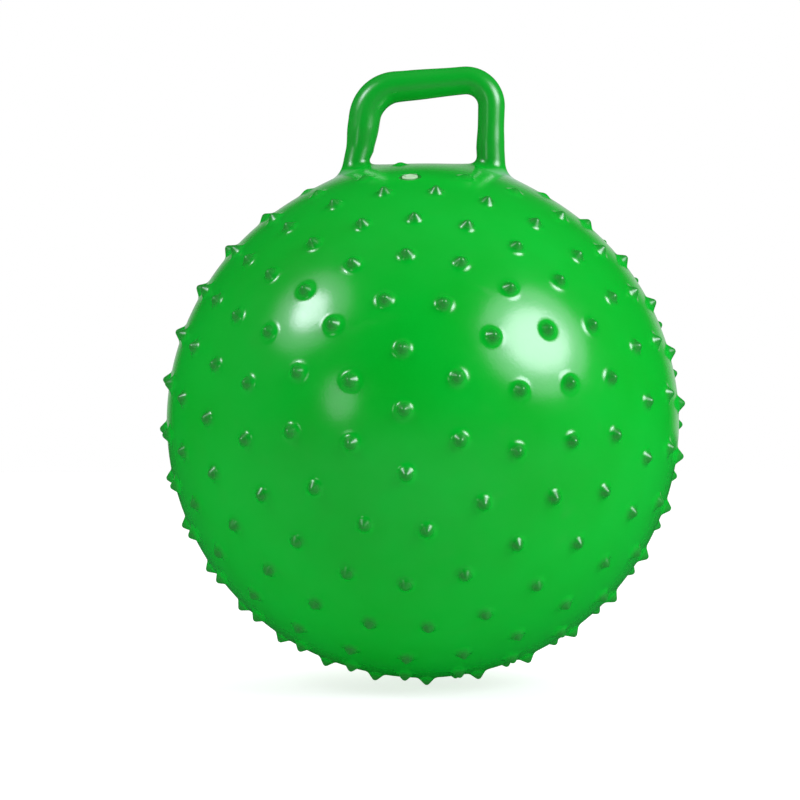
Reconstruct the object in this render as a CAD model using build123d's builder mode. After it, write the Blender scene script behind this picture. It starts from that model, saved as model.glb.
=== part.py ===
from build123d import *
from build123d.topology import SkipClean
from math import cos, radians, sin, sqrt
import os

# A hopper ball: a knobbly air-filled ball that a child sits on, holding its loop handle.
# Millimetres, +Z up through the handle, origin on the floor under the middle of the ball.
# The valve and the side that is usually seen face -Y. The mould parts in the XZ plane.

# ------------------------------------------------------------------ ball and skin
BALL_DIAMETER = 450.0  # outside of the blown-up skin, between the knobs
SKIN_WALL = 1.0

# ------------------------------------------------------------------ knobs
KNOB_HEIGHT = 6.8
KNOB_ROOT_DIAMETER = 18.6  # where the flank ends, inside the skin's wall
KNOB_TIP_RADIUS = 2.0
KNOB_TIP_STEEPNESS = 65.0  # degrees, slope of the flank where it meets the rounded tip
KNOB_ROOT_DEPTH = 0.5 * SKIN_WALL  # how far a knob's root reaches into the wall

# Rings of knobs run round a knob on the front pole (-Y) and another on the back pole (+Y).
# Angles are in degrees. A ring's turn is clockwise from the top, seen from the front.
RING_STEP = 11.85
FIRST_RING_EXTRA = 1.0
RING_COUNTS = (6, 12, 18, 23, 27, 30, 32)
RING_TURNS = (-1.7, -10.3, 0.1, 2.2, -6.2, 1.3, -2.8)
BACK_TURN = 0.5  # pitches: the back half is the front half with each ring turned this far
BACK_RING_STEP = 11.57  # its rings are a little smaller
BACK_CROWD_SIDEWAYS = 2.0  # and its knobs crowd up a little more
# The blown-up skin stretches less beside the handle, so the knobs crowd towards it.
CROWD_UP = 4.9
CROWD_SIDEWAYS = 0.9
SWAY = 1.8  # at the top and at the bottom the outer rings sit this much to the left
POLE_RISE = 2.35
KNOB_TO_FOOT = 50.0  # no knob is nearer to the middle of a handle foot
KNOB_TO_VALVE = 25.0  # nor nearer to the middle of the valve

# ------------------------------------------------------------------ handle
GRIP_DIAMETER = 25.5
GRIP_WALL = 2.5
HANDLE_RISE = 86.0  # top of the grip above the top of the ball
FOOT_SPAN = 117.0  # between the middles of the legs at the ball
GRIP_SPAN = 114.0  # the same, at the height of the grip
CORNER_RADIUS = 26.0  # on the middle line of the tube
FOOT_FILLET = 9.0
FOOT_EDGE = 0.4  # thickness of the flared foot at its rim
LEG_ROOT = 14.0  # how far the leg is drawn on inside the ball before it is trimmed

# ------------------------------------------------------------------ valve
VALVE_TILT = 22.3  # degrees in front of the top
VALVE_TURN = 1.5  # degrees to the left of the handle's middle, seen from the front
PLUG_HEAD_DIAMETER = 13.6
PLUG_HEAD_THICKNESS = 2.0
PLUG_DOME = 0.5
PLUG_DIMPLE_DIAMETER = 7.0
PLUG_DIMPLE_DEPTH = 0.6
PLUG_SHANK_DIAMETER = 6.9
PLUG_SHANK_LENGTH = 20.0
PLUG_TIP_DIAMETER = 4.6
PLUG_TIP_LENGTH = 4.0
PLUG_CLEARANCE = 0.05  # all round the shank, in the seat
HEAD_CLEARANCE = 0.35  # all round the head, in its recess
RECESS_DEPTH = 1.4
SEAT_LIP = 2.0  # width of the seat's ring that shows round the recess
SEAT_BOND_GAP = 0.03  # film of glue between the seat and the skin's hole
SEAT_FLANGE_WIDTH = 6.0  # beyond the collar, against the inside of the skin
SEAT_FLANGE_THICKNESS = 2.6
SEAT_NECK_WALL = 3.0
SEAT_END_MARGIN = 3.0  # bore left beyond the plug's tip

# ------------------------------------------------------------------ worked out from the sizes
BALL_RADIUS = BALL_DIAMETER / 2
INSIDE_RADIUS = BALL_RADIUS - SKIN_WALL
GRIP_RADIUS = GRIP_DIAMETER / 2


def on_ball(across, radius=BALL_RADIUS):
    """Height above the ball's middle at which a ball of this radius is this far across."""
    return sqrt(radius**2 - across**2)


FOOT = Vector(FOOT_SPAN / 2, 0, on_ball(FOOT_SPAN / 2))
UPRIGHT_VALVE = Vector(0, -sin(radians(VALVE_TILT)), cos(radians(VALVE_TILT)))
VALVE_DIRECTION = UPRIGHT_VALVE.rotate(Axis.Y, -VALVE_TURN)
ACROSS_VALVE = Vector(1, 0, 0).rotate(Axis.Y, -VALVE_TURN)


def knob_direction(ring_angle, turn, crowd_sideways=CROWD_SIDEWAYS):
    """Unit vector from the ball's middle to a front knob, in the stretched skin."""
    side = sin(ring_angle) ** 2
    angle = ring_angle - radians(CROWD_UP) * side * cos(turn)
    swing = radians(crowd_sideways) * sin(turn) + radians(SWAY) * cos(turn)
    swung = turn - swing * side
    flat = Vector(sin(angle) * sin(swung), -cos(angle), sin(angle) * cos(swung))
    return flat.rotate(Axis.X, -POLE_RISE)


def knob_directions():
    """Directions of all the knobs, with the places of the handle feet and the valve left bare."""
    found = []
    for back in (False, True):
        half = [knob_direction(0, 0)]
        for ring, (count, first) in enumerate(zip(RING_COUNTS, RING_TURNS), start=1):
            step = BACK_RING_STEP if back else RING_STEP
            crowd = BACK_CROWD_SIDEWAYS if back else CROWD_SIDEWAYS
            ring_angle = radians(FIRST_RING_EXTRA + step * ring)
            shift = BACK_TURN if back else 0
            for number in range(count):
                turn = radians(first + (number + shift) * 360 / count)
                half.append(knob_direction(ring_angle, turn, crowd))
        if back:
            half = [Vector(d.X, -d.Y, d.Z) for d in half]
        found += half
    feet = (FOOT, Vector(-FOOT.X, 0, FOOT.Z))
    valve = VALVE_DIRECTION * BALL_RADIUS
    kept = []
    for direction in found:
        root = direction * BALL_RADIUS
        clear_of_feet = min((root - foot).length for foot in feet) > KNOB_TO_FOOT
        if clear_of_feet and (root - valve).length > KNOB_TO_VALVE:
            kept.append(direction)
    return kept


# The ball stands on its lowest knob, so the middle of the ball is one knob's reach above the floor.
KNOBS = knob_directions()
TIP_MIDDLE = BALL_RADIUS + KNOB_HEIGHT - KNOB_TIP_RADIUS
BALL_HEIGHT = max(-TIP_MIDDLE * direction.Z for direction in KNOBS) + KNOB_TIP_RADIUS
MIDDLE = Vector(0, 0, BALL_HEIGHT)
valve_place = MIDDLE + VALVE_DIRECTION * BALL_RADIUS
print(f"knobs {len(KNOBS)}, middle of the ball {BALL_HEIGHT:.2f} mm above the floor")
print("middle of the valve", valve_place, "along", VALVE_DIRECTION)

os.makedirs("parts", exist_ok=True)

# ------------------------------------------------------------------ handle loop
# Up one leg, across the grip and down the other, ending inside the ball.
GRIP_HEIGHT = BALL_RADIUS + HANDLE_RISE - GRIP_RADIUS
LEG_RUN = Vector(GRIP_SPAN / 2, 0, GRIP_HEIGHT) - FOOT
LEG_END = FOOT - LEG_RUN.normalized() * LEG_ROOT
loop_points = [
    MIDDLE + Vector(-LEG_END.X, 0, LEG_END.Z),
    MIDDLE + Vector(-GRIP_SPAN / 2, 0, GRIP_HEIGHT),
    MIDDLE + Vector(GRIP_SPAN / 2, 0, GRIP_HEIGHT),
    MIDDLE + LEG_END,
]
with BuildLine() as loop:
    FilletPolyline(*loop_points, radius=CORNER_RADIUS)
loop_start = Plane(origin=loop.wire() @ 0, z_dir=loop.wire() % 0)

# All the air: inside the ball, inside the handle, and through the two holes between them.
with BuildPart() as air:
    with Locations(MIDDLE):
        Sphere(INSIDE_RADIUS)
    with BuildSketch(loop_start):
        Circle(GRIP_RADIUS - GRIP_WALL)
    sweep(path=loop.wire())

EDGE_SAMPLES = (0, 0.3, 0.6)  # places along an edge, as shares of its length
ON_SKIN = 0.01  # how near to the skin an edge must lie to count as on it
SEAM_ACROSS = Location(MIDDLE, (0, 0, 90))  # keeps a sphere's seam away from the legs


def where_leg_stands(edge):
    """Whether an edge is where a leg meets the ball that the tube is first built on."""
    points = [edge @ share for share in EDGE_SAMPLES]
    on_ball_now = all(abs((p - MIDDLE).length - BALL_RADIUS + FOOT_EDGE) < ON_SKIN for p in points)
    return on_ball_now and all(abs(p.X) > FOOT_SPAN / 4 for p in points)


# The tube stands on a ball a little under size, is filleted there, and is trimmed by the real one.
with BuildPart() as handle:
    with Locations(SEAM_ACROSS):
        Sphere(BALL_RADIUS - FOOT_EDGE)
    with BuildSketch(loop_start):
        Circle(GRIP_RADIUS)
    sweep(path=loop.wire())
    fillet([edge for edge in handle.edges() if where_leg_stands(edge)], radius=FOOT_FILLET)
    with Locations(SEAM_ACROSS):
        Sphere(BALL_RADIUS, mode=Mode.SUBTRACT)
    add(air.part, mode=Mode.SUBTRACT)
handle.part.label = "handle"
export_step(handle.part, "parts/handle.step")

# ------------------------------------------------------------------ one knob
# Its profile is a rounded tip and a hollow flank that flares out into the skin.
tip_slope = radians(KNOB_TIP_STEEPNESS)
tip_edge = Vector(KNOB_TIP_RADIUS * sin(tip_slope), KNOB_HEIGHT - KNOB_TIP_RADIUS * (1 - cos(tip_slope)))
root_edge = Vector(KNOB_ROOT_DIAMETER / 2, -KNOB_ROOT_DEPTH)
with BuildPart() as knob:
    with BuildSketch(Plane.XZ):
        with BuildLine():
            Line((0, -KNOB_ROOT_DEPTH), (0, KNOB_HEIGHT))
            TangentArc((0, KNOB_HEIGHT), tip_edge, tangent=(1, 0))
            TangentArc(tip_edge, root_edge, tangent=(cos(tip_slope), -sin(tip_slope)))
            Line(root_edge, (0, -KNOB_ROOT_DEPTH))
        make_face()
    revolve(axis=Axis.Z)

# ------------------------------------------------------------------ skin
# Recess, collar and flange share the values that the plug's head and the seat are made from.
RECESS_RADIUS = PLUG_HEAD_DIAMETER / 2 + HEAD_CLEARANCE
COLLAR_RADIUS = RECESS_RADIUS + SEAT_LIP
# The knobs go on a solid ball and the air comes out last. Nothing here needs its faces merged.
with SkipClean(), BuildPart() as ball_skin:
    with Locations(MIDDLE):
        Sphere(BALL_RADIUS)
    with Locations(*[Plane(origin=MIDDLE + d * BALL_RADIUS, z_dir=d) for d in KNOBS]):
        add(knob.part, clean=False)
    add(air.part, mode=Mode.SUBTRACT, clean=False)
    with BuildSketch(Plane(origin=MIDDLE, z_dir=VALVE_DIRECTION)):
        Circle(COLLAR_RADIUS + SEAT_BOND_GAP)
    extrude(amount=BALL_DIAMETER, mode=Mode.SUBTRACT, clean=False)
ball_skin.part.label = "ball_skin"
export_step(ball_skin.part, "parts/ball_skin.step", write_pcurves=False)

# ------------------------------------------------------------------ valve seat
# A thick insert bonded into the skin: recess, lip, flange inside the ball, neck and bore.
# Its section is drawn with the valve's axis as Y, measured from the middle of the ball.
valve_section = Plane(origin=MIDDLE, x_dir=ACROSS_VALVE, z_dir=ACROSS_VALVE.cross(VALVE_DIRECTION))
valve_axis = Axis(MIDDLE, VALVE_DIRECTION)

BORE_RADIUS = PLUG_SHANK_DIAMETER / 2 + PLUG_CLEARANCE
FLANGE_RADIUS = COLLAR_RADIUS + SEAT_FLANGE_WIDTH
NECK_RADIUS = BORE_RADIUS + SEAT_NECK_WALL
RECESS_FLOOR = on_ball(RECESS_RADIUS) - RECESS_DEPTH
COLLAR_UNDERSIDE = on_ball(COLLAR_RADIUS, INSIDE_RADIUS)
FLANGE_UNDERSIDE = on_ball(FLANGE_RADIUS, INSIDE_RADIUS) - SEAT_FLANGE_THICKNESS
SEAT_END = RECESS_FLOOR - PLUG_SHANK_LENGTH - SEAT_END_MARGIN


def ball_arc(inner, outer, radius):
    """Arc of the ball's own section between two distances from the valve's axis."""
    points = [(across, on_ball(across, radius)) for across in (inner, (inner + outer) / 2, outer)]
    return ThreePointArc(*points)


with BuildPart() as valve_seat:
    with BuildSketch(valve_section):
        with BuildLine():
            ball_arc(RECESS_RADIUS, COLLAR_RADIUS, BALL_RADIUS)
            Line((COLLAR_RADIUS, on_ball(COLLAR_RADIUS)), (COLLAR_RADIUS, COLLAR_UNDERSIDE))
            ball_arc(COLLAR_RADIUS, FLANGE_RADIUS, INSIDE_RADIUS)
            Polyline(
                (FLANGE_RADIUS, on_ball(FLANGE_RADIUS, INSIDE_RADIUS)),
                (FLANGE_RADIUS, FLANGE_UNDERSIDE),
                (NECK_RADIUS, FLANGE_UNDERSIDE),
                (NECK_RADIUS, SEAT_END),
                (BORE_RADIUS, SEAT_END),
                (BORE_RADIUS, RECESS_FLOOR),
                (RECESS_RADIUS, RECESS_FLOOR),
                (RECESS_RADIUS, on_ball(RECESS_RADIUS)),
            )
        make_face()
    revolve(axis=valve_axis)
valve_seat.part.label = "valve_seat"
export_step(valve_seat.part, "parts/valve_seat.step")

# ------------------------------------------------------------------ valve plug
# A push-in stopper: domed head with a dimple for the thumb, round shank, tapered tip.
HEAD_RADIUS = PLUG_HEAD_DIAMETER / 2
HEAD_EDGE = RECESS_FLOOR + PLUG_HEAD_THICKNESS
with BuildPart() as valve_plug:
    with BuildSketch(valve_section):
        with BuildLine():
            Line((0, HEAD_EDGE + PLUG_DOME), (0, RECESS_FLOOR - PLUG_SHANK_LENGTH))
            Polyline(
                (0, RECESS_FLOOR - PLUG_SHANK_LENGTH),
                (PLUG_TIP_DIAMETER / 2, RECESS_FLOOR - PLUG_SHANK_LENGTH),
                (PLUG_SHANK_DIAMETER / 2, RECESS_FLOOR - PLUG_SHANK_LENGTH + PLUG_TIP_LENGTH),
                (PLUG_SHANK_DIAMETER / 2, RECESS_FLOOR),
                (HEAD_RADIUS, RECESS_FLOOR),
                (HEAD_RADIUS, HEAD_EDGE),
            )
            TangentArc((0, HEAD_EDGE + PLUG_DOME), (HEAD_RADIUS, HEAD_EDGE), tangent=(1, 0))
        make_face()
    revolve(axis=valve_axis)
    dimple_mouth = MIDDLE + VALVE_DIRECTION * (HEAD_EDGE + PLUG_DOME - PLUG_DIMPLE_DEPTH)
    with BuildSketch(Plane(origin=dimple_mouth, z_dir=VALVE_DIRECTION)):
        Circle(PLUG_DIMPLE_DIAMETER / 2)
    extrude(amount=PLUG_DIMPLE_DEPTH, mode=Mode.SUBTRACT)
valve_plug.part.label = "valve_plug"
export_step(valve_plug.part, "parts/valve_plug.step")
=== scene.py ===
# %% [markdown]
# # A knobbly hopper ball
#
# The real thing is one hollow moulding of soft green vinyl: a ball with knobs all over it, and a
# loop handle on top. It is blown up through a small valve, which a pale plug closes.
#
# The construction comes packed as a frame: skin, handle, valve seat and plug, at their real sizes.
# This script leaves their places alone and gives them their looks. Lengths are in metres.

# %% Load the frame
from math import cos, pi, radians, sin, sqrt, tan

import bmesh
import bpy
import numpy as np
from mathutils import Matrix, Vector
from mathutils.geometry import delaunay_2d_cdt


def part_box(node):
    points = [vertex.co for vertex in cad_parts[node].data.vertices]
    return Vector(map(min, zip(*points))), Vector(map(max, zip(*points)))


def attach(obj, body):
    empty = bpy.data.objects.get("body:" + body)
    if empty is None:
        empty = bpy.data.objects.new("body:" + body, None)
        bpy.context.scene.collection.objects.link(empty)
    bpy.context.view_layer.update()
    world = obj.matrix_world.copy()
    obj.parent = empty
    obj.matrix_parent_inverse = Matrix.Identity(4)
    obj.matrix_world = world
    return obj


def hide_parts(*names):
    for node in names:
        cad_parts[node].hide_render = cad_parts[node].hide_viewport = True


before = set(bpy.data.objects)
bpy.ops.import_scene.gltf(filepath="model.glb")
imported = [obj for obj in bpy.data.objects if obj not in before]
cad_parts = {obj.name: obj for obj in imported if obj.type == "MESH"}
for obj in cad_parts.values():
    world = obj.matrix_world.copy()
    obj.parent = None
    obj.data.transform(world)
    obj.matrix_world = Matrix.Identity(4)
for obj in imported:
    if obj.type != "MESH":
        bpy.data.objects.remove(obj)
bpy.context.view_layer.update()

MM = 0.001

# %% [markdown]
# ## The sizes that everything is worked out from
#
# The ball's radius and the height of its middle above the floor set all the rest. The ball stands
# on its lowest knob, so its middle is a little more than one radius up. The frame's own box gives
# both the top of the grip and that height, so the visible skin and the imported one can't drift apart.

# %% Ball, grip and valve sizes
BALL_RADIUS = 225 * MM
HANDLE_RISE = 86 * MM
MIDDLE_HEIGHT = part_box("handle")[1][2] - BALL_RADIUS - HANDLE_RISE
MIDDLE = np.array([0, 0, MIDDLE_HEIGHT])
FOOT_X = {-1: 59.5 * MM, 1: 59.0 * MM}  # by side: -1 is left, 1 is right
LEG_RADIUS = {-1: 12.0 * MM, 1: 12.8 * MM}
VALVE_TILT = radians(22.3)
VALVE_TURN = radians(1.5)
VALVE_DIRECTION = np.array([
    -cos(VALVE_TILT) * sin(VALVE_TURN),
    -sin(VALVE_TILT),
    cos(VALVE_TILT) * cos(VALVE_TURN),
])
COLLAR_RADIUS = 9.15 * MM
print("middle of the ball", round(MIDDLE_HEIGHT / MM, 2), "mm above the floor")

# %% [markdown]
# ## The camera
#
# The photograph looks level with the middle of the ball and a little from the right of the ball's
# own front. Its distance is taken as ten ball radii. A long lens and a small shift put the ball
# where it is in the picture.

# %% Camera
CAMERA_DISTANCE = 10 * BALL_RADIUS
CAMERA_AZIMUTH = radians(3.8)
BALL_IN_PICTURE = (422.9, 421.7)  # pixels
BALL_RADIUS_IN_PICTURE = 256.0  # pixels, of the limb between the knobs
PICTURE_SIZE = 800
SENSOR_WIDTH = 36.0

focal_pixels = BALL_RADIUS_IN_PICTURE * sqrt((CAMERA_DISTANCE / BALL_RADIUS) ** 2 - 1)
camera_data = bpy.data.cameras.new("camera")
camera_data.sensor_width = SENSOR_WIDTH
camera_data.lens = focal_pixels * SENSOR_WIDTH / PICTURE_SIZE
camera_data.shift_x = -(BALL_IN_PICTURE[0] - PICTURE_SIZE / 2) / PICTURE_SIZE
camera_data.shift_y = (BALL_IN_PICTURE[1] - PICTURE_SIZE / 2) / PICTURE_SIZE
camera = bpy.data.objects.new("camera", camera_data)
bpy.context.scene.collection.objects.link(camera)
camera.matrix_world = (
    Matrix.Translation(
        Vector((sin(CAMERA_AZIMUTH) * CAMERA_DISTANCE, -cos(CAMERA_AZIMUTH) * CAMERA_DISTANCE, MIDDLE_HEIGHT))
    )
    @ Matrix.Rotation(CAMERA_AZIMUTH, 4, "Z")
    @ Matrix.Rotation(pi / 2, 4, "X")
)
bpy.context.scene.camera = camera
print("lens", round(camera_data.lens, 1), "mm")

# %% [markdown]
# ## Where the knobs are
#
# The mould has two halves that part in the plane of the handle. In each half the knobs stand in
# rings round a knob at the pole. The handle stiffens the skin near it, so there the blown-up skin
# stretches less and the rings crowd together, and the outer rings sway a little to the left: a
# small warp of the angles does that. No knob stands where a handle foot or the valve is.

# %% Knob directions
RING_STEP = 11.85
FIRST_RING_EXTRA = 1.0
RING_COUNTS = (6, 12, 18, 23, 27, 30, 32)
RING_TURNS = (-1.7, -10.3, 0.1, 2.2, -6.2, 1.3, -2.8)
CROWD_UP = radians(4.9)
CROWD_SIDEWAYS = radians(0.9)
BACK_RING_STEP = 11.57
BACK_CROWD_SIDEWAYS = radians(2.0)
SWAY = radians(1.8)
POLE_RISE = radians(2.35)
KNOB_TO_FOOT = 50 * MM
KNOB_TO_VALVE = 25 * MM


def knob_direction(ring_angle, turn, crowd_sideways):
    """Unit vector from the middle of the ball to a knob of the front half."""
    side = sin(ring_angle) ** 2
    angle = ring_angle - CROWD_UP * side * cos(turn)
    swung = turn - side * (crowd_sideways * sin(turn) + SWAY * cos(turn))
    x, y, z = sin(angle) * sin(swung), -cos(angle), sin(angle) * cos(swung)
    return np.array([x, cos(POLE_RISE) * y + sin(POLE_RISE) * z, cos(POLE_RISE) * z - sin(POLE_RISE) * y])


def foot_middle(side):
    """Middle of a handle foot on the skin, from the middle of the ball. side is -1 or 1."""
    across = FOOT_X[side]
    return np.array([side * across, 0, sqrt(BALL_RADIUS**2 - across**2)])


def knob_directions():
    """Directions of all the knobs that the ball really has."""
    found = []
    for back in (False, True):
        half = [knob_direction(0, 0, 0)]
        step = BACK_RING_STEP if back else RING_STEP
        crowd = BACK_CROWD_SIDEWAYS if back else CROWD_SIDEWAYS
        for ring, (count, first) in enumerate(zip(RING_COUNTS, RING_TURNS), start=1):
            ring_angle = radians(FIRST_RING_EXTRA + step * ring)
            for number in range(count):
                turn = radians(first + (number + 0.5 * back) * 360 / count)
                half.append(knob_direction(ring_angle, turn, crowd))
        found += [d * (1, -1, 1) for d in half] if back else half
    kept = []
    for direction in found:
        root = direction * BALL_RADIUS
        to_foot = min(np.linalg.norm(root - foot_middle(side)) for side in (-1, 1))
        to_valve = np.linalg.norm(root - VALVE_DIRECTION * BALL_RADIUS)
        if to_foot > KNOB_TO_FOOT and to_valve > KNOB_TO_VALVE:
            kept.append(direction)
    return np.array(kept)


KNOBS = knob_directions()
print("knobs", len(KNOBS))

# %% [markdown]
# ## The shape of one knob
#
# A knob is a small blunt cone. Its tip is round, its flank is straight, and it runs into the skin
# with no edge at all, because the vinyl flowed there when it was moulded. So the outline is a tip
# arc, a straight line and a root arc that ends flat on the skin, all at one slope where they meet.

# %% Knob profile
KNOB_HEIGHT = 6.5 * MM
TIP_RADIUS = 3.0 * MM
ROOT_RADIUS = 6.5 * MM
FLANK_SLOPE = radians(45)
TIP_EDGE = TIP_RADIUS * sin(FLANK_SLOPE)
FLANK_TOP = KNOB_HEIGHT - TIP_RADIUS * (1 - cos(FLANK_SLOPE))
ROOT_TOP = ROOT_RADIUS * (1 - cos(FLANK_SLOPE))
ROOT_EDGE = TIP_EDGE + (FLANK_TOP - ROOT_TOP) / tan(FLANK_SLOPE)
KNOB_REACH = ROOT_EDGE + ROOT_RADIUS * sin(FLANK_SLOPE)


def knob_profile(across):
    """Height of a knob at a distance from its middle, both in metres."""
    tip = KNOB_HEIGHT - TIP_RADIUS + np.sqrt(np.maximum(TIP_RADIUS**2 - across**2, 0))
    flank = FLANK_TOP - (across - TIP_EDGE) * tan(FLANK_SLOPE)
    from_end = np.clip(KNOB_REACH - across, 0, ROOT_RADIUS)
    root = ROOT_RADIUS - np.sqrt(ROOT_RADIUS**2 - from_end**2)
    return np.where(across < TIP_EDGE, tip, np.where(across < ROOT_EDGE, flank, root))


print("knob reaches", round(KNOB_REACH / MM, 2), "mm from its middle")

# %% [markdown]
# ## A skin with fine faces only where it needs them
#
# Knobs need faces a millimetre wide, and the bare skin between them doesn't. A subdivided sphere
# has one size everywhere, so this skin is built from chosen points instead: circles round each
# knob, circles round the handle feet and the valve, a circle in the parting plane, and an even
# spiral for the rest. Each half is laid flat by a stereographic projection, which turns circles
# into circles, and joined up there by a Delaunay triangulation, which is then right on the ball too.

# %% Points on the unit ball
KNOB_CIRCLES = (0.6, 1.2, 1.9, 2.6, 3.5, 4.5, 5.5, 6.4, 7.4, 8.4, 9.5, 10.6, 12.4)  # mm from its middle
KNOB_CIRCLE_POINTS = (8, 14, 20, 24, 24, 24, 24, 24, 24, 24, 24, 24, 24)
SKIN_SPACING = 5.0 * MM
FOOT_POINTS = 64
VALVE_POINTS = 48


def circle_on_ball(direction, radius, count, turn=0.0):
    """Points of a circle on the unit ball round a direction. radius is along the skin."""
    direction = direction / np.linalg.norm(direction)
    helper = np.array([1.0, 0, 0]) if abs(direction[0]) < 0.8 else np.array([0, 1.0, 0])
    first = np.cross(direction, helper)
    first /= np.linalg.norm(first)
    second = np.cross(direction, first)
    around = turn + np.arange(count) * 2 * pi / count
    angle = radius / BALL_RADIUS
    spokes = np.outer(np.cos(around), first) + np.outer(np.sin(around), second)
    return cos(angle) * direction + sin(angle) * spokes


def even_spiral(spacing):
    """Points spread evenly over the unit ball, a given distance apart on the real one."""
    count = int(4 * pi * BALL_RADIUS**2 / (sqrt(3) / 2 * spacing**2))
    number = np.arange(count) + 0.5
    height = 1 - 2 * number / count
    around = number * pi * (3 - sqrt(5))
    flat = np.sqrt(1 - height**2)
    return np.column_stack([flat * np.cos(around), flat * np.sin(around), height])


# %% [markdown]
# ## The handle and its feet
#
# The handle is a bent tube of soft vinyl, so its grip isn't quite level, its two corners differ, it
# is thicker on the left and it leans back there a little. At the ball the tube flares out, and the
# pull of the handle lifts the skin round each foot by a few millimetres. Handle and skin are one
# piece, as they were moulded: each foot is a set of curves from the tube down to a ring on the
# skin, and that ring is part of the skin's own points.

# %% Handle shape
CORNERS = ((-48.5 * MM, 294.7 * MM, 31 * MM), (61.3 * MM, 303.2 * MM, 23 * MM))  # x, z, bend
# share of the way from the left foot to the right one, and the tube's radius there
THICKNESS = (
    (0.0, 12.3 * MM), (0.10, 14.0 * MM), (0.24, 14.6 * MM), (0.40, 13.5 * MM),
    (0.62, 12.3 * MM), (0.80, 11.9 * MM), (0.90, 11.7 * MM), (1.0, 12.5 * MM),
)
LEG_START = 24 * MM
FLARE_MEAN = 8.5 * MM
FLARE_OUTWARD = 1.0 * MM
FLARE_RISE = 9.0 * MM
FLARE_RISE_OUTWARD = 2.0 * MM
FLARE_STEPS = 9
TUBE_STEP = 2.2 * MM
HIGHEST_RISE = 0.9  # of a flare, as a share of the way from the skin to the tube's first ring
LEAN = (0.105, -0.035)  # backward slope of the left leg and of the right one
PULL = 5.0 * MM
PULL_BETWEEN = 0.65  # share by which the pull is stronger on the side towards the other foot
PULL_REACH = 25 * MM


def pulled_up(points):
    """How far the handle lifts the skin at points of the unit ball, in metres."""
    lift = np.zeros(len(points))
    for side in (-1, 1):
        from_foot = points * BALL_RADIUS - foot_middle(side)
        away = np.linalg.norm(from_foot, axis=1)
        between = np.clip(-side * from_foot[:, 0] / np.maximum(away, 1 * MM), 0, 1)
        fade = np.exp(-np.maximum(away - LEG_RADIUS[side], 0) / PULL_REACH)
        lift += PULL * (1 + PULL_BETWEEN * between**2) * fade
    return lift


def handle_path():
    """Middle line of the tube in the XZ plane, between the two feet's flares."""
    feet = [foot_middle(side)[[0, 2]] for side in (-1, 1)]
    bends = [np.array(corner[:2]) for corner in CORNERS]
    stops = [feet[0], *bends, feet[1]]
    ways = [(b - a) / np.linalg.norm(b - a) for a, b in zip(stops, stops[1:])]
    at = feet[0] + ways[0] * LEG_START
    finish = feet[1] - ways[2] * LEG_START
    path = []
    for corner, (_, _, radius), before, after in zip(bends, CORNERS, ways, ways[1:]):
        turn = np.arccos(before @ after)
        cut = radius * tan(turn / 2)
        arc_start = corner - before * cut
        steps = int(np.linalg.norm(arc_start - at) / TUBE_STEP)
        path += [at + (arc_start - at) * k / steps for k in range(steps)]
        inward = np.array([before[1], -before[0]])
        centre = arc_start + inward * radius
        steps = int(radius * turn / TUBE_STEP)
        for k in range(steps):
            angle = turn * k / steps
            path.append(centre - inward * radius * cos(angle) + before * radius * sin(angle))
        at = corner + after * cut
    steps = int(np.linalg.norm(finish - at) / TUBE_STEP)
    path += [at + (finish - at) * k / steps for k in range(steps + 1)]
    return np.array(path)


def shares_along(path):
    """Share of the whole way along the middle line at each of its points."""
    along = np.append(0, np.cumsum(np.linalg.norm(np.diff(path, axis=0), axis=1)))
    return along / along[-1]


def tube_radii(path):
    """Radius of the tube at each point of the middle line."""
    share = shares_along(path)
    shares, radii = np.array(THICKNESS).T
    left = np.clip(np.searchsorted(shares, share, side="right") - 1, 0, len(shares) - 2)
    part = (share - shares[left]) / (shares[left + 1] - shares[left])
    eased = part * part * (3 - 2 * part)
    return radii[left] + (radii[left + 1] - radii[left]) * eased


def tube_rings(path):
    """A ring of points round each point of the middle line, starting on the loop's outer side."""
    along = np.gradient(path, axis=0)
    along /= np.linalg.norm(along, axis=1)[:, None]
    around = np.arange(FOOT_POINTS) * 2 * pi / FOOT_POINTS
    leans = LEAN[0] + (LEAN[1] - LEAN[0]) * shares_along(path)
    back = leans * (path[:, 1] - foot_middle(-1)[2])
    rings = []
    for (x, z), y, (tx, tz), radius in zip(path, back, along, tube_radii(path)):
        outer = np.array([-tz, 0, tx])
        spokes = np.outer(np.cos(around), outer) + np.outer(np.sin(around), np.array([0, -1.0, 0]))
        rings.append(np.array([x, y, z]) + radius * spokes)
    return np.array(rings)


def foot_reach(side, outward):
    """How far the flare of a foot reaches from the foot's middle. outward is 1 on the outer side."""
    return LEG_RADIUS[side] + FLARE_MEAN + FLARE_OUTWARD * outward


def foot_ring_on_skin(side, around):
    """Unit vectors to where the flare of a foot meets the skin. around is 0 on the outer side."""
    outward = np.cos(around)
    reach = foot_reach(side, outward)
    x = side * (FOOT_X[side] + reach * outward)
    y = -reach * np.sin(around)
    z = np.sqrt(BALL_RADIUS**2 - x**2 - y**2)
    return np.column_stack([x, y, z]) / BALL_RADIUS


around_foot = np.arange(FOOT_POINTS) * 2 * pi / FOOT_POINTS
foot_rings = {side: foot_ring_on_skin(side, around_foot) for side in (-1, 1)}
print("handle path", len(handle_path()), "points")

# %% [markdown]
# Each knob, each foot and the valve keep the plain points of the spiral away from their circles.
# The circle in the parting plane belongs to both halves, which is what sews them together.

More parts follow.
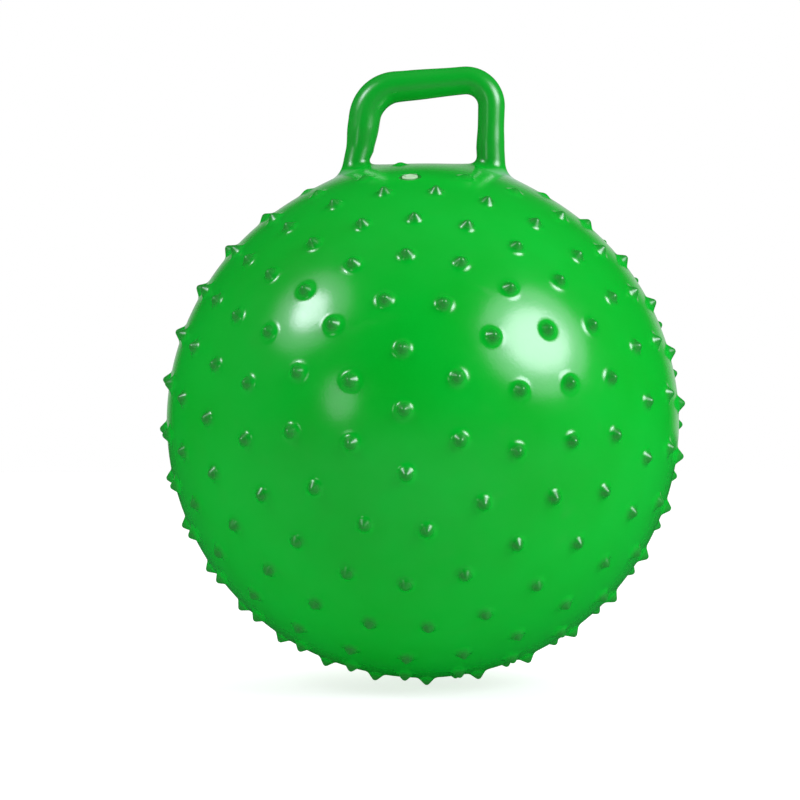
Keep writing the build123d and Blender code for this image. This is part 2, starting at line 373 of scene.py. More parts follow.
# %% Gather the skin's points
PARTING_SPACING = 3.0 * MM
PARTING_TO_FOOT = 0.4 * PARTING_SPACING
PLAIN_TO_PARTING = 0.7 * SKIN_SPACING
PLAIN_TO_FOOT = 0.6 * SKIN_SPACING
PLAIN_TO_KNOB = KNOB_CIRCLES[-1] + 2.2  # mm from its middle
PLAIN_TO_VALVE = COLLAR_RADIUS + 6 * MM
VALVE_CIRCLES = ((0, 0), (1.6 * MM, 0.5), (3.4 * MM, 0))  # beyond the collar, and turn in points
ON_PARTING = 1e-9


def keep_away(points, direction, reach):
    """Points of the unit ball that are further than reach from a direction, along the skin."""
    return points[points @ (direction / np.linalg.norm(direction)) < cos(reach / BALL_RADIUS)]


def distance_to_foot(points, side):
    """How far points of the unit ball lie outside a foot's ring, in metres, seen from above."""
    flat = points * BALL_RADIUS
    x = side * flat[:, 0] - FOOT_X[side]
    y = flat[:, 1]
    away = np.hypot(x, y)
    outward = np.divide(x, away, out=np.zeros_like(x), where=away > 0)
    return np.where(flat[:, 2] > 0, away - foot_reach(side, outward), 1.0)


def half_points(front):
    """All the points of one half, with the parting circle first."""
    sign = -1 if front else 1
    count = int(2 * pi * BALL_RADIUS / PARTING_SPACING)
    around = (np.arange(count) + 0.5) * 2 * pi / count
    parting = np.column_stack([np.sin(around), np.zeros(count), np.cos(around)])
    for side in (-1, 1):
        parting = parting[distance_to_foot(parting, side) > PARTING_TO_FOOT]
    feet = np.vstack([foot_rings[side] for side in (-1, 1)])
    on_parting = np.abs(feet[:, 1]) < ON_PARTING
    edge = np.vstack([parting, feet[on_parting]])
    edge[:, 1] = 0
    inside = [feet[feet[:, 1] * sign > ON_PARTING]]
    plain = even_spiral(SKIN_SPACING)
    plain = plain[plain[:, 1] * sign > PLAIN_TO_PARTING / BALL_RADIUS]
    for side in (-1, 1):
        plain = plain[distance_to_foot(plain, side) > PLAIN_TO_FOOT]
    for direction in KNOBS[KNOBS[:, 1] * sign > 0]:
        plain = keep_away(plain, direction, PLAIN_TO_KNOB * MM)
        inside.append(direction[None, :])
        for number, (radius, count) in enumerate(zip(KNOB_CIRCLES, KNOB_CIRCLE_POINTS)):
            inside.append(circle_on_ball(direction, radius * MM, count, turn=number * pi / count))
    if front:
        for extra, turn in VALVE_CIRCLES:
            shift = turn * 2 * pi / VALVE_POINTS
            inside.append(circle_on_ball(VALVE_DIRECTION, COLLAR_RADIUS + extra, VALVE_POINTS, shift))
        plain = keep_away(plain, VALVE_DIRECTION, PLAIN_TO_VALVE)
    return np.vstack([edge, *inside, plain])


def half_faces(points, front):
    """Triangles of one half, from its stereographic projection."""
    sign = -1 if front else 1
    flat = points[:, [0, 2]] / (1 + sign * points[:, 1])[:, None]
    result = delaunay_2d_cdt([Vector(p) for p in flat], [], [], 0, 1e-7)
    vertices, faces, origins = result[0], result[2], result[3]
    source = [o[0] for o in origins]
    assert len(vertices) == len(points)
    return [tuple(source[v] for v in face) for face in faces]


# %% [markdown]
# ## Build the one-piece skin
#
# The triangles that would close the feet and the valve are thrown away, the knobs are raised along
# each point's own direction, and the handle's rings are joined to the feet. The skin of a soft ball
# is never a perfect sphere, so it also swells and sinks by a few tenths of a millimetre. Inside it
# lies the skin's plain inner face, which joins the outer one round the hole for the valve.
#
# A value named for the stretch goes with every point and also carries painted shade: 1 where the
# handle has pulled the vinyl pale, 0 on the blown-up ball, and less than 0 where it is darker: down
# to -1 on the knobs, as painted shade that grows with their height, and a little less on the handle,
# whose green is darker.

# %% Skin mesh
SWELL = 0.35 * MM
FLAT_KNOB = 0.35  # share of the full height that a knob keeps beside the handle
FULL_KNOB = (65 * MM, 115 * MM)  # distances from a foot over which knobs grow to full height
SKIN_WALL = 1.0 * MM
INNER_RINGS = 40
HOLE_MARGIN = 0.05 * MM  # points this near to the edge of a hole count as on it
MERGE_SKIN = 0.02 * MM
PALE_REACH = 17 * MM
PALE_ROUND = (-0.35, 0.75)  # outwardness of a side of the foot where it starts to pale and is pale
HANDLE_DARKENING = 0.5  # share of the knobs' painted-shade colour that the handle has, as its darker green
KNOB_SHADE_HEIGHTS = (0.3 * MM, 4.5 * MM)  # heights over which a knob's painted shade grows to full


def swell(points):
    """Long shallow waves of the blown-up skin, in metres."""
    x, y, z = points.T
    waves = np.sin(5.1 * x + 1.3) * np.cos(4.3 * z - 0.4) + 0.6 * np.sin(7.7 * z + 3.1 * y + 2.0)
    return SWELL * (waves + 0.4 * np.cos(11.0 * x - 6.0 * z)) / 2


def raise_knobs(points):
    """Height of the knobs at points of the unit ball. Beside the handle they are pulled flatter."""
    height = np.zeros(len(points))
    for direction in KNOBS:
        near = points @ direction > cos(1.02 * KNOB_REACH / BALL_RADIUS)
        along = np.arccos(np.clip(points[near] @ direction, -1, 1)) * BALL_RADIUS
        to_foot = min(np.linalg.norm(direction * BALL_RADIUS - foot_middle(side)) for side in (-1, 1))
        grown = np.clip((to_foot - FULL_KNOB[0]) / (FULL_KNOB[1] - FULL_KNOB[0]), 0, 1)
        height[near] = np.maximum(height[near], knob_profile(along) * (FLAT_KNOB + (1 - FLAT_KNOB) * grown))
    return height


def base_radius(points):
    """Distance of the skin from the middle of the ball, without the knobs."""
    return BALL_RADIUS + swell(points) + pulled_up(points)


def skin_stretch(points):
    """Stretch at points of the unit ball: most on the outer side of the feet, gone further out."""
    most = np.zeros(len(points))
    for side in (-1, 1):
        flat = points * BALL_RADIUS - foot_middle(side)
        away = np.hypot(flat[:, 0], flat[:, 1])
        outward = side * np.divide(flat[:, 0], away, out=np.zeros_like(away), where=away > 0)
        fade = np.exp(-np.maximum(distance_to_foot(points, side), 0) / PALE_REACH)
        most = np.maximum(most, fade * outer_share(outward))
    return most


def outer_share(outward):
    """How much of the stretch falls on a side of the foot. outward is 1 on the outer side."""
    return np.clip((outward - PALE_ROUND[0]) / (PALE_ROUND[1] - PALE_ROUND[0]), 0, 1)


def outer_skin():
    """Both halves of the outside of the ball: points of the unit ball and faces."""
    all_points, faces = [], []
    for front in (True, False):
        points = half_points(front)
        start = sum(len(p) for p in all_points)
        inside_foot = np.zeros(len(points), bool)
        for side in (-1, 1):
            inside_foot |= distance_to_foot(points, side) < HOLE_MARGIN
        in_valve = points @ VALVE_DIRECTION > cos((COLLAR_RADIUS + HOLE_MARGIN) / BALL_RADIUS)
        for face in half_faces(points, front):
            corner_list = list(face)
            if all(inside_foot[corner_list]) or all(in_valve[corner_list]):
                continue
            corners = points[corner_list]
            normal = np.cross(corners[1] - corners[0], corners[2] - corners[0])
            outward = normal @ corners.mean(axis=0) > 0
            faces.append(tuple(start + v for v in (face if outward else face[::-1])))
        all_points.append(points)
    return np.vstack(all_points), faces


def grid_faces(rows, columns, start):
    """Quads of a grid of points that closes on itself along its rows."""
    faces = []
    for row in range(rows - 1):
        for column in range(columns):
            following = (column + 1) % columns
            low, high = start + row * columns, start + (row + 1) * columns
            faces.append((low + column, low + following, high + following, high + column))
    return faces


def inner_skin():
    """Rows of points from the edge of the valve's hole, inward and round the inside of the ball."""
    edge = circle_on_ball(VALVE_DIRECTION, COLLAR_RADIUS, VALVE_POINTS)
    rows = [edge * base_radius(edge)[:, None]]
    first = COLLAR_RADIUS / BALL_RADIUS
    for number in range(INNER_RINGS):
        angle = first + (pi - 2 * first) * number / (INNER_RINGS - 1)
        ring = circle_on_ball(VALVE_DIRECTION, angle * BALL_RADIUS, VALVE_POINTS)
        rows.append(ring * (base_radius(ring) - SKIN_WALL)[:, None])
    rows.append(np.repeat(-VALVE_DIRECTION[None, :] * (BALL_RADIUS - SKIN_WALL), VALVE_POINTS, axis=0))
    return np.array(rows)


def handle_grid():
    """Rows of points from the left foot's ring on the skin, along the tube, to the right one's."""
    rings = tube_rings(handle_path())
    outward = np.cos(around_foot)
    flares, stretches = [], []
    for tube_ring, side in ((rings[0], -1), (rings[-1], 1)):
        unit = foot_rings[side]
        foot = unit * base_radius(unit)[:, None]
        wall = LEG_RADIUS[side]
        x = side * (FOOT_X[side] + wall * outward)
        y = -wall * np.sin(around_foot)
        unit = np.column_stack([x, y, np.sqrt(BALL_RADIUS**2 - x**2 - y**2)]) / BALL_RADIUS
        under = unit * base_radius(unit)[:, None]
        to_tube = tube_ring - under
        way_up = np.linalg.norm(to_tube, axis=1)
        rise = np.minimum(FLARE_RISE + FLARE_RISE_OUTWARD * outward, HIGHEST_RISE * way_up)
        top = under + to_tube * (rise / way_up)[:, None]
        curves, pale = [], []
        for step in range(FLARE_STEPS + 1):
            t = step / FLARE_STEPS
            curves.append((1 - t) ** 2 * foot + 2 * t * (1 - t) * under + t**2 * top)
            pale.append((1 - t) * outer_share(outward) - HANDLE_DARKENING * t)
        flares.append(curves)
        stretches.append(pale)
    plain = [np.full(FOOT_POINTS, -HANDLE_DARKENING)] * len(rings)
    grid = np.array(flares[0] + list(rings) + flares[1][::-1])
    return grid, np.concatenate(stretches[0] + plain + stretches[1][::-1])


ball_unit, skin_faces = outer_skin()
knob_heights = raise_knobs(ball_unit)
# painted shade on the knobs: none at their roots, full towards their tips
knob_painted_shade = np.clip((knob_heights - KNOB_SHADE_HEIGHTS[0]) / (KNOB_SHADE_HEIGHTS[1] - KNOB_SHADE_HEIGHTS[0]), 0, 1)
knob_painted_shade = knob_painted_shade**2 * (3 - 2 * knob_painted_shade)
ball_points = ball_unit * (base_radius(ball_unit) + knob_heights)[:, None]
handle_rows, handle_stretch = handle_grid()
inner_rows = inner_skin()
handle_start = len(ball_points)
inner_start = handle_start + handle_rows.shape[0] * FOOT_POINTS
skin_faces += grid_faces(len(handle_rows), FOOT_POINTS, handle_start)
skin_faces += grid_faces(len(inner_rows), VALVE_POINTS, inner_start)
skin_vertices = np.vstack([ball_points, handle_rows.reshape(-1, 3), inner_rows.reshape(-1, 3)]) + MIDDLE
inner_stretch = np.zeros(inner_rows.shape[0] * VALVE_POINTS)
stretch_and_knob_shade = np.concatenate([skin_stretch(ball_unit) - knob_painted_shade, handle_stretch, inner_stretch])

skin_mesh = bpy.data.meshes.new("moulded_skin")
skin_mesh.from_pydata(skin_vertices.tolist(), [], skin_faces)
skin_mesh.attributes.new("stretch_and_knob_shade", "FLOAT", "POINT").data.foreach_set("value", stretch_and_knob_shade)
bm = bmesh.new()
bm.from_mesh(skin_mesh)
bmesh.ops.remove_doubles(bm, verts=bm.verts, dist=MERGE_SKIN)
bmesh.ops.recalc_face_normals(bm, faces=bm.faces)
open_edges = [edge for edge in bm.edges if len(edge.link_faces) != 2]
print("skin", len(bm.verts), "vertices,", len(bm.faces), "faces,", len(open_edges), "open edges")
bm.to_mesh(skin_mesh)
bm.free()


def add_piece(name, mesh, body, slot, *replaced):
    """Put a smooth mesh in the scene as a piece that rides on a body and replaces packed ones."""
    piece = bpy.data.objects.new(name, mesh)
    bpy.context.scene.collection.objects.link(piece)
    mesh.polygons.foreach_set("use_smooth", [True] * len(mesh.polygons))
    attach(piece, body)
    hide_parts(*replaced)


add_piece("moulded_skin", skin_mesh, "ball", "skin", "ball_skin", "handle")

# %% [markdown]
# ## The valve
#
# The seat is a thick insert behind the skin, with a round recess for the plug's head and a bore for
# its shank. The plug is pushed in and its head lies almost flush. Both are turned shapes, so each is
# an outline across its axis with every corner eased, as moulded plastic has them.

# %% Valve seat and plug
TURNED_POINTS = 64
CORNER_STEPS = 5
RECESS_RADIUS = 7.15 * MM
RECESS_FLOOR = sqrt(BALL_RADIUS**2 - RECESS_RADIUS**2) - 1.4 * MM
HEAD_RADIUS = 6.8 * MM
HEAD_EDGE = RECESS_FLOOR + 2.0 * MM
HEAD_TOP = HEAD_EDGE + 0.5 * MM
DIMPLE_RADIUS = 3.5 * MM
DIMPLE_DEPTH = 0.6 * MM
SHANK_RADIUS = 3.45 * MM
SHANK_END = RECESS_FLOOR - 20 * MM
PLUG_TIP_RADIUS = 2.3 * MM
TAPER = 4 * MM
BORE_RADIUS = 3.5 * MM
NECK_RADIUS = 6.5 * MM
NECK_END = SHANK_END - 3 * MM
FLANGE_RADIUS = COLLAR_RADIUS + 6 * MM
FLANGE_TOP = sqrt((BALL_RADIUS - SKIN_WALL) ** 2 - FLANGE_RADIUS**2) - 0.4 * MM
FLANGE_THICKNESS = 2.2 * MM
HEAD_CLEARANCE = 0.02 * MM  # under the plug's head
MERGE_VALVE = 0.002 * MM


def ease_corners(outline):
    """Points of an outline with its corners eased. Each item is across, along and the easing."""
    points = []
    for index, (across, along, easing) in enumerate(outline):
        here = np.array([across, along])
        if easing == 0:
            points.append(here)
            continue
        before = np.array(outline[index - 1][:2]) - here
        after = np.array(outline[(index + 1) % len(outline)][:2]) - here
        start = here + before / np.linalg.norm(before) * easing
        finish = here + after / np.linalg.norm(after) * easing
        for step in range(CORNER_STEPS + 1):
            t = step / CORNER_STEPS
            points.append((1 - t) ** 2 * start + 2 * t * (1 - t) * here + t**2 * finish)
    return np.array(points)


def turned_mesh(name, outline, closed):
    """A mesh turned round the valve's axis. Distances along it are from the middle of the ball."""
    points = ease_corners(outline)
    if closed:
        points = np.vstack([points, points[:1]])
    across = np.cross([0, 1.0, 0], VALVE_DIRECTION)
    across /= np.linalg.norm(across)
    beside = np.cross(VALVE_DIRECTION, across)
    around = np.arange(TURNED_POINTS) * 2 * pi / TURNED_POINTS
    spokes = np.outer(np.cos(around), across) + np.outer(np.sin(around), beside)
    rows = np.array([VALVE_DIRECTION * along + spokes * radius for radius, along in points])
    mesh = bpy.data.meshes.new(name)
    mesh.from_pydata(
        (rows.reshape(-1, 3) + MIDDLE).tolist(), [], grid_faces(len(rows), TURNED_POINTS, 0)
    )
    turned = bmesh.new()
    turned.from_mesh(mesh)
    bmesh.ops.remove_doubles(turned, verts=turned.verts, dist=MERGE_VALVE)
    bmesh.ops.recalc_face_normals(turned, faces=turned.faces)
    turned.to_mesh(mesh)
    turned.free()
    return mesh


plug_outline = [
    (0, HEAD_TOP - DIMPLE_DEPTH, 0),
    (DIMPLE_RADIUS, HEAD_TOP - DIMPLE_DEPTH, 1.1 * MM),
    (DIMPLE_RADIUS + 0.3 * MM, HEAD_TOP - 0.1 * MM, 0.25 * MM),
    (HEAD_RADIUS - 0.8 * MM, HEAD_EDGE + 0.18 * MM, 0.6 * MM),
    (HEAD_RADIUS, HEAD_EDGE - 0.25 * MM, 0.35 * MM),
    (HEAD_RADIUS, RECESS_FLOOR + HEAD_CLEARANCE, 0.3 * MM),
    (SHANK_RADIUS, RECESS_FLOOR + HEAD_CLEARANCE, 0.25 * MM),
    (SHANK_RADIUS, SHANK_END + TAPER, 0.8 * MM),
    (PLUG_TIP_RADIUS, SHANK_END, 0.6 * MM),
    (0, SHANK_END, 0),
]
seat_outline = [
    (COLLAR_RADIUS, sqrt(BALL_RADIUS**2 - COLLAR_RADIUS**2), 0.35 * MM),
    (RECESS_RADIUS, sqrt(BALL_RADIUS**2 - RECESS_RADIUS**2), 0.4 * MM),
    (RECESS_RADIUS, RECESS_FLOOR, 0.3 * MM),
    (BORE_RADIUS, RECESS_FLOOR, 0.25 * MM),
    (BORE_RADIUS, NECK_END, 0.4 * MM),
    (NECK_RADIUS, NECK_END, 0.9 * MM),
    (NECK_RADIUS, FLANGE_TOP - FLANGE_THICKNESS, 1.2 * MM),
    (FLANGE_RADIUS, FLANGE_TOP - FLANGE_THICKNESS, 0.7 * MM),
    (FLANGE_RADIUS, FLANGE_TOP, 0.5 * MM),
    (COLLAR_RADIUS, FLANGE_TOP, 0.1 * MM),
]
plug_mesh = turned_mesh("stopper", plug_outline, closed=False)
seat_mesh = turned_mesh("valve_insert", seat_outline, closed=True)
add_piece("stopper", plug_mesh, "plug", "plug", "valve_plug")
add_piece("valve_insert", seat_mesh, "ball", "seat", "valve_seat")
print("valve pieces", len(plug_mesh.polygons), "and", len(seat_mesh.polygons), "faces")

# %% [markdown]
# ## Surface of moulded plastic
#
# One node group makes what every moulded surface here shares: a tone that drifts over a hand's
# breadth, a gloss that is uneven over a finger's breadth, and a fine orange peel in the normal.

# %% Shared node group
def new_node(tree, kind, **inputs):
    """A node with its unlinked inputs set by name, with underscores for spaces."""
    node = tree.nodes.new(kind)
    for name, value in inputs.items():
        node.inputs[name.replace("_", " ")].default_value = value
    return node


def moulded_surface_group():
    group = bpy.data.node_groups.new("moulded_surface", "ShaderNodeTree")
    for name, default in (("Peel Scale", 500.0), ("Peel Depth", 0.1)):
        socket = group.interface.new_socket(name, in_out="INPUT", socket_type="NodeSocketFloat")
        socket.default_value = default
    group.interface.new_socket("Normal", in_out="INPUT", socket_type="NodeSocketVector")
    for name, kind in (("Tone", "Float"), ("Gloss", "Float"), ("Normal", "Vector")):
        group.interface.new_socket(name, in_out="OUTPUT", socket_type="NodeSocket" + kind)
    link = group.links.new
    inputs = group.nodes.new("NodeGroupInput")
    outputs = group.nodes.new("NodeGroupOutput")
    place = group.nodes.new("ShaderNodeTexCoord")
    tone = new_node(group, "ShaderNodeTexNoise", Scale=9.0, Detail=3.0, Roughness=0.55)
    gloss = new_node(group, "ShaderNodeTexNoise", Scale=55.0, Detail=4.0, Roughness=0.6)
    peel = new_node(group, "ShaderNodeTexNoise", Detail=2.0, Roughness=0.5)
    bump = new_node(group, "ShaderNodeBump", Distance=0.0004)
    for noise in (tone, gloss, peel):
        link(place.outputs["Object"], noise.inputs["Vector"])
    link(inputs.outputs["Peel Scale"], peel.inputs["Scale"])
    link(inputs.outputs["Peel Depth"], bump.inputs["Strength"])
    link(inputs.outputs["Normal"], bump.inputs["Normal"])
    link(peel.outputs["Fac"], bump.inputs["Height"])
    for source, name in ((tone, "Tone"), (gloss, "Gloss")):
        full_range = new_node(group, "ShaderNodeMapRange", From_Min=0.3, From_Max=0.7)
        link(source.outputs["Fac"], full_range.inputs["Value"])
        link(full_range.outputs["Result"], outputs.inputs[name])
    link(bump.outputs["Normal"], outputs.inputs["Normal"])
    return group


MOULDED_SURFACE = moulded_surface_group()
print(MOULDED_SURFACE.name, "has", len(MOULDED_SURFACE.nodes), "nodes")


def new_material(name):
    """A material with its node tree, its Principled BSDF and a shared surface group beside it."""
    material = bpy.data.materials.new(name)
    material.use_nodes = True
    tree = material.node_tree
    surface = tree.nodes.new("ShaderNodeGroup")
    surface.node_tree = MOULDED_SURFACE
    return material, tree, tree.nodes["Principled BSDF"], surface


def blend(tree, share, first, second):
    """A colour mix. share, first and second are sockets, or plain values for the two colours."""
    mix = tree.nodes.new("ShaderNodeMix")
    mix.data_type = "RGBA"
    for name, value in (("A", first), ("B", second)):
        socket = next(s for s in mix.inputs if s.name == name and s.type == "RGBA")
        if isinstance(value, tuple):
            socket.default_value = value
        else:
            tree.links.new(value, socket)
    tree.links.new(share, mix.inputs["Factor"])
    return next(s for s in mix.outputs if s.type == "RGBA")


def spread(tree, value, low, high):
    """A value from 0 to 1 brought between two others."""
    node = new_node(tree, "ShaderNodeMapRange", To_Min=low, To_Max=high)
    tree.links.new(value, node.inputs["Value"])
    return node.outputs["Result"]


def arithmetic(tree, operation, *values):
    """One math node. Each value is a socket or a number."""
    node = tree.nodes.new("ShaderNodeMath")
    node.operation = operation
    for socket, value in zip(node.inputs, values):
        if isinstance(value, (int, float)):
            socket.default_value = value
        else:
            tree.links.new(value, socket)
    return node.outputs[0]


# %% [markdown]
# ## Vinyl
#
# Soft vinyl is a strong flat green with a waxy gloss: the light that falls on it comes back in
# broad, soft-edged patches. Where the handle pulls it, on the outer side of the feet, it turns
# paler. The knobs carry painted shade, darker the higher they rise, and the handle is a darker
# green; both are a little duller. The mould leaves a fine raised line where its halves met, in the
# plane of the handle, and use leaves a few dull scuffs.

# %% Green vinyl
DEEP_GREEN = (0.0003, 0.46, 0.018, 1)
FULL_GREEN = (0.0006, 0.52, 0.028, 1)
PALE_GREEN = (0.33, 0.68, 0.42, 1)
# painted shade for the knobs; the handle takes part of it as its darker green
HANDLE_GREEN_AND_KNOB_SHADE = (0.001, 0.33, 0.018, 1)
DULLNESS_ON_KNOBS_AND_HANDLE = 0.14  # added to the roughness where the knobs' painted shade is full, and in part on the handle
SCUFF_DULLNESS = 0.06
PARTING_WIDTH = 0.35 * MM


def parting_line(tree):
    """Normal with a fine ridge in the plane of the handle."""
    place = tree.nodes.new("ShaderNodeTexCoord")
    split = tree.nodes.new("ShaderNodeSeparateXYZ")
    tree.links.new(place.outputs["Object"], split.inputs[0])
    away = arithmetic(tree, "DIVIDE", split.outputs["Y"], PARTING_WIDTH)
    squared = arithmetic(tree, "MULTIPLY", away, away)
    ridge = arithmetic(tree, "EXPONENT", arithmetic(tree, "MULTIPLY", squared, -1))
    bump = new_node(tree, "ShaderNodeBump", Strength=0.35, Distance=0.0002)
    tree.links.new(ridge, bump.inputs["Height"])
    return bump.outputs["Normal"]


def scuffs(tree):
    """Share of dull rubbed skin, in a few streaks."""
    place = tree.nodes.new("ShaderNodeTexCoord")
    turned = new_node(tree, "ShaderNodeMapping", Rotation=(0.5, 0.3, 0.9), Scale=(14, 90, 30))
    noise = new_node(tree, "ShaderNodeTexNoise", Scale=1.0, Detail=3.0, Roughness=0.65)
    narrow = new_node(tree, "ShaderNodeMapRange", From_Min=0.62, From_Max=0.74)
    tree.links.new(place.outputs["Object"], turned.inputs["Vector"])
    tree.links.new(turned.outputs["Vector"], noise.inputs["Vector"])
    tree.links.new(noise.outputs["Fac"], narrow.inputs["Value"])
    return narrow.outputs["Result"]


green_vinyl, tree, shader, surface = new_material("green_vinyl")
surface.inputs["Peel Scale"].default_value = 420.0
surface.inputs["Peel Depth"].default_value = 0.10
tree.links.new(parting_line(tree), surface.inputs["Normal"])
stretch_and_shade_node = tree.nodes.new("ShaderNodeAttribute")
stretch_and_shade_node.attribute_name = "stretch_and_knob_shade"
flat_green = blend(tree, surface.outputs["Tone"], DEEP_GREEN, FULL_GREEN)
# painted shade on the knobs from the darker green, and the handle's darker green at part strength
handle_and_knob_shade_share = arithmetic(tree, "MULTIPLY", stretch_and_shade_node.outputs["Fac"], -1)
dullness_on_knobs_and_handle = spread(tree, handle_and_knob_shade_share, 0, DULLNESS_ON_KNOBS_AND_HANDLE)
green_with_knob_shade = blend(tree, handle_and_knob_shade_share, flat_green, HANDLE_GREEN_AND_KNOB_SHADE)
green_with_pale_and_knob_shade = blend(tree, stretch_and_shade_node.outputs["Fac"], green_with_knob_shade, PALE_GREEN)
tree.links.new(green_with_pale_and_knob_shade, shader.inputs["Base Color"])
rubbed = arithmetic(tree, "MULTIPLY_ADD", scuffs(tree), SCUFF_DULLNESS, dullness_on_knobs_and_handle)
smooth_skin = spread(tree, surface.outputs["Gloss"], 0.16, 0.19)
tree.links.new(arithmetic(tree, "ADD", smooth_skin, rubbed), shader.inputs["Roughness"])
tree.links.new(surface.outputs["Normal"], shader.inputs["Normal"])
shader.inputs["IOR"].default_value = 1.5
shader.inputs["Specular IOR Level"].default_value = 1.0
skin_mesh.materials.append(green_vinyl)
print(green_vinyl.name, "has", len(tree.nodes), "nodes")

# %% [markdown]
# The seat is of the same vinyl, thicker and so a little darker. The plug is harder, pale and
# slightly green, with a satin finish, and where its face turns away from view it gets painted shade,
# a darker and yellower green.

# %% Seat and plug plastic
seat_plastic, tree, shader, surface = new_material("seat_plastic")
surface.inputs["Peel Scale"].default_value = 700.0
surface.inputs["Peel Depth"].default_value = 0.12
seat_green = blend(tree, surface.outputs["Tone"], (0.001, 0.26, 0.012, 1), (0.002, 0.31, 0.018, 1))
tree.links.new(seat_green, shader.inputs["Base Color"])
tree.links.new(spread(tree, surface.outputs["Gloss"], 0.36, 0.44), shader.inputs["Roughness"])
tree.links.new(surface.outputs["Normal"], shader.inputs["Normal"])
seat_mesh.materials.append(seat_plastic)

plug_plastic, tree, shader, surface = new_material("plug_plastic")
surface.inputs["Peel Scale"].default_value = 900.0
surface.inputs["Peel Depth"].default_value = 0.08
plug_tone = blend(tree, surface.outputs["Tone"], (0.46, 0.76, 0.42, 1), (0.54, 0.82, 0.50, 1))
# painted shade on the plug where its face turns from view: a darker, yellower green
edge = tree.nodes.new("ShaderNodeLayerWeight")
edge.inputs["Blend"].default_value = 0.25
plug_rim_shade = arithmetic(tree, "MULTIPLY", edge.outputs["Facing"], 0.3)
tree.links.new(blend(tree, plug_rim_shade, plug_tone, (0.50, 0.74, 0.34, 1)), shader.inputs["Base Color"])
tree.links.new(spread(tree, surface.outputs["Gloss"], 0.30, 0.40), shader.inputs["Roughness"])
tree.links.new(surface.outputs["Normal"], shader.inputs["Normal"])
plug_mesh.materials.append(plug_plastic)
print("also made", seat_plastic.name, "and", plug_plastic.name)

# %% [markdown]
# ## Floor and light
#
# The ball stands in a white tent with an opening on the camera's side, so it is lit evenly from all
# sides but the front, where it goes darker, and its edges mirror the white behind it. Two soft
# lamps make the bright patches, a large one on the right and a small one on the left, each with a
# fainter halo, and a third is only just seen. The ball stands on a lit table, which brightens its
# underside. The camera sees a plain white surround, and the floor keeps the shadow. The gloss sees
# that white only behind the ball: an open, dark front keeps the green of its face deep.

# %% Studio
TENT_LIGHT = 0.94
BRIGHT_SIDE = (-0.30, -0.10, 0.95)  # the tent is brighter towards the top, a little left
BRIGHT_SHARE = 0.26
FRONT_OPENING = (0.05, 0.65)  # how much of a direction faces the camera's side, from lit to dark
OPENING_LIGHT = 0.02  # share of the tent's light that comes from the opening
MIRRORED_BACK = (0.84, 1.0)  # how much of a direction faces away, from dark to mirrored white
MIRRORED_LIGHT = (0.005, 0.6)  # what the gloss sees there, at the dark and at the white end
FLOOR_GLOW = 0.75  # seen by the camera alone
TABLE_LIGHT = 0.56  # of the lit table, on the underside of the ball
LAMP_COLOUR = (0.88, 0.84, 1.0)

scene = bpy.context.scene
scene.view_settings.view_transform = "Standard"
world = bpy.data.worlds.new("studio")
scene.world = world
world.use_nodes = True
world.cycles.sampling_method = "NONE"  # so that each kind of ray finds its own strength
tree = world.node_tree
direction = tree.nodes.new("ShaderNodeTexCoord")
split = tree.nodes.new("ShaderNodeSeparateXYZ")
tree.links.new(direction.outputs["Generated"], split.inputs[0])
facing = arithmetic(tree, "MULTIPLY", split.outputs["Y"], -1)
ray = tree.nodes.new("ShaderNodeLightPath")


def eased_range(value, low, high, at_low, at_high):
    node = new_node(tree, "ShaderNodeMapRange", From_Min=low, From_Max=high, To_Min=at_low, To_Max=at_high)
    node.interpolation_type = "SMOOTHSTEP"
    tree.links.new(value, node.inputs["Value"])
    return node.outputs["Result"]


def choose(share, first, second):
    """first where share is 0, second where it is 1."""
    difference = arithmetic(tree, "SUBTRACT", second, first)
    return arithmetic(tree, "ADD", first, arithmetic(tree, "MULTIPLY", share, difference))


lean = tree.nodes.new("ShaderNodeVectorMath")
lean.operation = "DOT_PRODUCT"
lean.inputs[1].default_value = BRIGHT_SIDE
tree.links.new(direction.outputs["Generated"], lean.inputs[0])
leaning = arithmetic(tree, "MULTIPLY_ADD", lean.outputs["Value"], BRIGHT_SHARE, TENT_LIGHT)
tent = arithmetic(tree, "MULTIPLY", leaning, eased_range(facing, *FRONT_OPENING, 1.0, OPENING_LIGHT))
mirrored = eased_range(split.outputs["Y"], *MIRRORED_BACK, *MIRRORED_LIGHT)
seen = arithmetic(tree, "MAXIMUM", ray.outputs["Is Camera Ray"], ray.outputs["Is Transmission Ray"])
strength = choose(seen, choose(ray.outputs["Is Glossy Ray"], tent, mirrored), 1.0)
background = tree.nodes["Background"]
background.inputs["Color"].default_value = (1, 1, 1, 1)
tree.links.new(strength, background.inputs["Strength"])

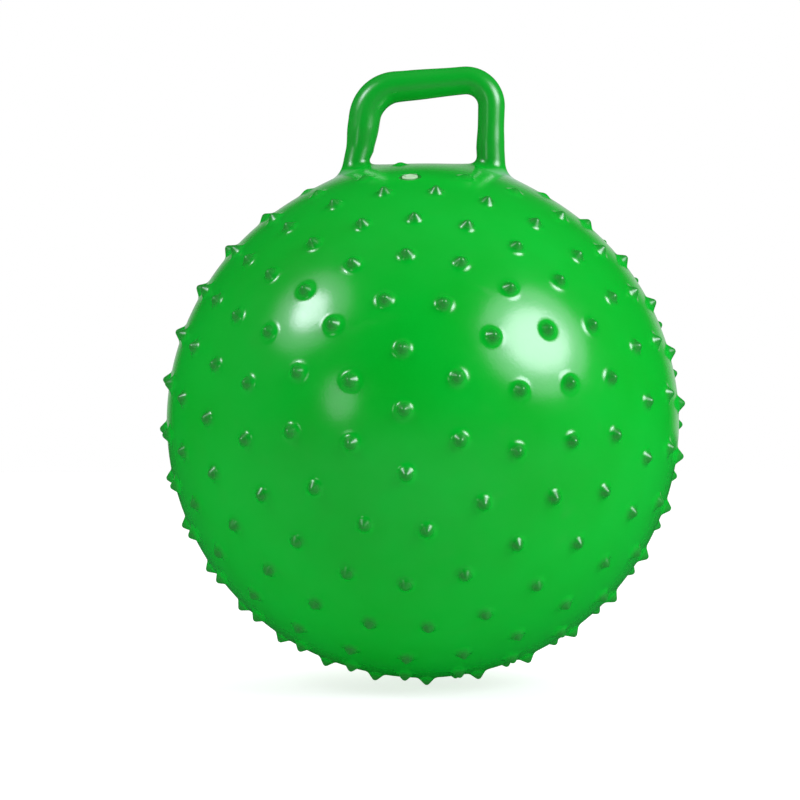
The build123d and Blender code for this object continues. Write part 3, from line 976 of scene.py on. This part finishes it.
FLOOR_REACH = 9  # metres each way
FLOOR_GREY = (0.45, 0.45, 0.45, 1)
FLOOR_MIRRORED = (0.012, 0.03, 0.035, 1)  # the floor as the gloss sees it
corners = [(x * FLOOR_REACH, y * FLOOR_REACH, 0) for x, y in ((-1, -1), (1, -1), (1, 1), (-1, 1))]
floor_mesh = bpy.data.meshes.new("floor")
floor_mesh.from_pydata(corners, [], [(0, 1, 2, 3)])
floor = bpy.data.objects.new("floor", floor_mesh)
scene.collection.objects.link(floor)
floor_paint = bpy.data.materials.new("floor_paint")
floor_paint.use_nodes = True
floor_paint.cycles.emission_sampling = "NONE"
tree = floor_paint.node_tree
shader = tree.nodes["Principled BSDF"]
shader.inputs["Roughness"].default_value = 0.9
shader.inputs["Specular IOR Level"].default_value = 0.1
shader.inputs["Emission Color"].default_value = (1, 1, 1, 1)
ray = tree.nodes.new("ShaderNodeLightPath")
table_light = arithmetic(tree, "MULTIPLY", ray.outputs["Is Diffuse Ray"], TABLE_LIGHT)
glow = arithmetic(tree, "MULTIPLY_ADD", ray.outputs["Is Camera Ray"], FLOOR_GLOW, table_light)
tree.links.new(glow, shader.inputs["Emission Strength"])
floor_colour = blend(tree, ray.outputs["Is Glossy Ray"], FLOOR_GREY, FLOOR_MIRRORED)
tree.links.new(floor_colour, shader.inputs["Base Color"])
floor_mesh.materials.append(floor_paint)


def soft_light(name, toward, distance, width, height, power):
    """An upright oval light in a direction from the middle of the ball, aimed at it."""
    lamp = bpy.data.lights.new(name, "AREA")
    lamp.shape = "ELLIPSE"
    lamp.size, lamp.size_y = width, height
    lamp.energy = power
    lamp.color = LAMP_COLOUR
    holder = bpy.data.objects.new(name, lamp)
    scene.collection.objects.link(holder)
    toward = Vector(toward).normalized()
    holder.location = Vector(MIDDLE) + toward * distance
    holder.rotation_euler = toward.to_track_quat("Z", "Y").to_euler()
    print(name, power, "W,", width, "by", height, "m")


RIGHT_WAY = (0.740, -0.440, 0.508)
LEFT_WAY = (-0.652, -0.392, 0.664)
FAINT_WAY = (-0.51, -0.84, 0.16)
soft_light("right_light", RIGHT_WAY, distance=2.22, width=1.15, height=1.0, power=18)
soft_light("right_light_halo", RIGHT_WAY, distance=2.24, width=1.9, height=1.75, power=17)
soft_light("left_light", LEFT_WAY, distance=2.21, width=0.55, height=0.6, power=7.5)
soft_light("left_light_halo", LEFT_WAY, distance=2.23, width=1.3, height=1.3, power=5)
soft_light("faint_light", FAINT_WAY, distance=2.6, width=0.6, height=0.8, power=1.8)
